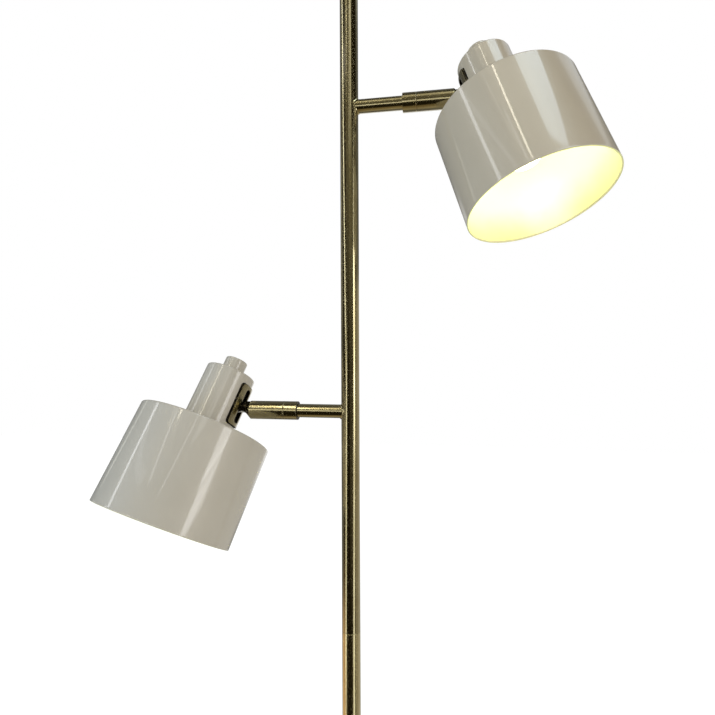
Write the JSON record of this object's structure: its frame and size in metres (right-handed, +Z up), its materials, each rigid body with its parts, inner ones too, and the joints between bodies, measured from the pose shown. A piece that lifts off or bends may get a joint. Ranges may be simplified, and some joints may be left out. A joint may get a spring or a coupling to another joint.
{
  "type": "tension pole lamp",
  "caption": "Floor-to-ceiling brass pole lamp: sprung telescoping top and drum-shaded heads on short arms that swivel and tilt.",
  "frame": {"origin": "centre of the foot pad's underside, on the floor", "axes": "+Z up along the pole; +X along the upper arm, -X along the lower arm; the heads lean towards -Y"},
  "size_m": [0.4812, 0.1712, 2.466],
  "materials": {
    "aged_brass": "lacquered antique brass, satin, with long soft reflections along the tubes",
    "inner_brass": "plain turned brass, hidden inside",
    "greige_lacquer": "glossy warm grey-beige lacquer outside, white inside",
    "dark_bronze": "blackened bronze, satin",
    "steel": "bright zinc-plated steel",
    "rubber": "matt black rubber",
    "black_plastic": "fine-grained black thermoplastic",
    "ring_plastic": "white thermoplastic",
    "lead_sheath": "smooth flexible sheath",
    "ceramic": "unglazed white porcelain",
    "lamp_cap_metal": "rolled bright aluminium",
    "opal_glass": "opal white glass, lit from inside in the upper head"
  },
  "bodies": {
    "pole": {"foot_pad": "rubber", "foot_plate": "aged_brass", "lower_pole": "aged_brass", "cord_gland": "black_plastic", "pole_couplers": "inner_brass", "middle_pole": "aged_brass", "upper_pole": "aged_brass", "clamp_collar": "aged_brass", "upper_arm": "aged_brass", "lower_arm": "aged_brass", "upper_collar": "aged_brass", "lower_collar": "aged_brass", "swivel_nipples": "inner_brass", "swivel_nuts": "inner_brass", "pole_lead": "lead_sheath", "lead_junction": "black_plastic", "arm_leads": "lead_sheath"},
    "extension": {"extension_tube": "aged_brass", "stop_pin": "steel", "spring_seat": "steel", "tension_spring": "steel"},
    "plunger": {"plunger_tube": "aged_brass", "ceiling_plate": "aged_brass", "ceiling_pad": "rubber"},
    "clamp_screw": {"clamp_screw": "aged_brass"},
    "upper_knuckle": {"upper_sleeve": "aged_brass", "upper_swivel_bush": "inner_brass", "upper_tongue": "dark_bronze", "upper_knuckle_lead": "lead_sheath"},
    "upper_head": {"upper_housing": "greige_lacquer", "upper_bracket": "aged_brass", "upper_hinge_pin": "steel", "upper_hinge_washers": "steel", "upper_shade": "greige_lacquer", "upper_lampholder": "ceramic", "upper_holder_contacts": "inner_brass", "upper_shade_ring": "ring_plastic", "upper_lamp_cap": "lamp_cap_metal", "upper_lamp_glass": "opal_glass", "upper_switch_body": "black_plastic", "upper_head_leads": "lead_sheath"},
    "upper_knob": {"upper_switch_knob": "greige_lacquer"},
    "lower_knuckle": {"lower_sleeve": "aged_brass", "lower_swivel_bush": "inner_brass", "lower_tongue": "dark_bronze", "lower_knuckle_lead": "lead_sheath"},
    "lower_head": {"lower_housing": "greige_lacquer", "lower_bracket": "aged_brass", "lower_hinge_pin": "steel", "lower_hinge_washers": "steel", "lower_shade": "greige_lacquer", "lower_lampholder": "ceramic", "lower_holder_contacts": "inner_brass", "lower_shade_ring": "ring_plastic", "lower_lamp_cap": "lamp_cap_metal", "lower_lamp_glass": "opal_glass", "lower_switch_body": "black_plastic", "lower_head_leads": "lead_sheath"},
    "lower_knob": {"lower_switch_knob": "greige_lacquer"}
  },
  "joints": [
    {"name": "extension_slide", "type": "slide", "parent": "pole", "child": "extension", "axis": [0, 0, 1], "range_m": [-0.12, 0.12]},
    {"name": "plunger_slide", "type": "slide", "parent": "extension", "child": "plunger", "axis": [0, 0, 1], "range_m": [-0.03, 0], "stiffness_N_per_m": 1800, "springref_m": 0.012, "deforming": ["tension_spring"]},
    {"name": "clamp_screw_turn", "type": "hinge", "parent": "pole", "child": "clamp_screw", "pos_m": [0.02, 0, 2.247], "axis": [1, 0, 0], "range_deg": [0, 360]},
    {"name": "upper_swivel", "type": "hinge", "parent": "pole", "child": "upper_knuckle", "pos_m": [0.085, 0, 1.443], "axis": [1, 0, 0], "range_deg": [-153.8, 186.2]},
    {"name": "upper_tilt", "type": "hinge", "parent": "upper_knuckle", "child": "upper_head", "pos_m": [0.1214, 0.0007, 1.4454], "axis": [0, -0.9603, 0.279], "range_deg": [-33, 28]},
    {"name": "upper_switch_turn", "type": "hinge", "parent": "upper_head", "child": "upper_knob", "pos_m": [0.13986, 0.00227, 1.45082], "axis": [-0.2924, 0.2668, 0.9183], "continuous": true},
    {"name": "lower_swivel", "type": "hinge", "parent": "pole", "child": "lower_knuckle", "pos_m": [-0.085, 0, 1.143], "axis": [-1, 0, 0], "range_deg": [-195.6, 144.4]},
    {"name": "lower_tilt", "type": "hinge", "parent": "lower_knuckle", "child": "lower_head", "pos_m": [-0.1214, 0.00108, 1.14525], "axis": [0, 0.9018, -0.4321], "range_deg": [-31, 30]},
    {"name": "lower_switch_turn", "type": "hinge", "parent": "lower_head", "child": "lower_knob", "pos_m": [-0.14004, 0.00324, 1.14976], "axis": [0.2588, 0.4174, 0.8711], "continuous": true}
  ]
}
